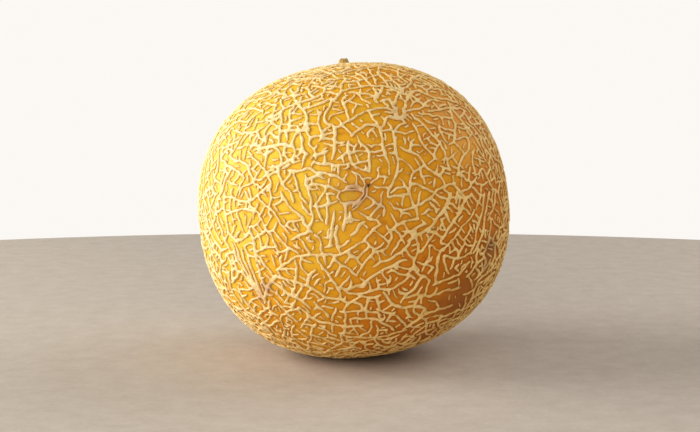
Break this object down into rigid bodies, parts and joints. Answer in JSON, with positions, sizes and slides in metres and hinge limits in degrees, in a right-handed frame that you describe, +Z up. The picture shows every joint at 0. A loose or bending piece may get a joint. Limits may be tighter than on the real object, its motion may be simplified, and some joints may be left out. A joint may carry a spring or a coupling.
{
  "type": "cantaloupe melon",
  "caption": "Whole round netted melon with a yellow rind, raised corky netting and a dried stem stub, resting on a small flat spot.",
  "frame": {"origin": "on the flat rest spot, straight below the middle of the fruit's box", "axes": "+Z up from the rest spot to the stem end, +X to the right and -Y towards the viewer of the fruit's front"},
  "size_m": [0.1494, 0.149, 0.1432],
  "materials": {
    "netted_rind": "satin golden rind under dull tan cork netting",
    "dried_stem": "matt dried woody stem"
  },
  "bodies": {
    "root": {"melon_fruit": "netted_rind", "stem_stub": "dried_stem"}
  },
  "joints": []
}
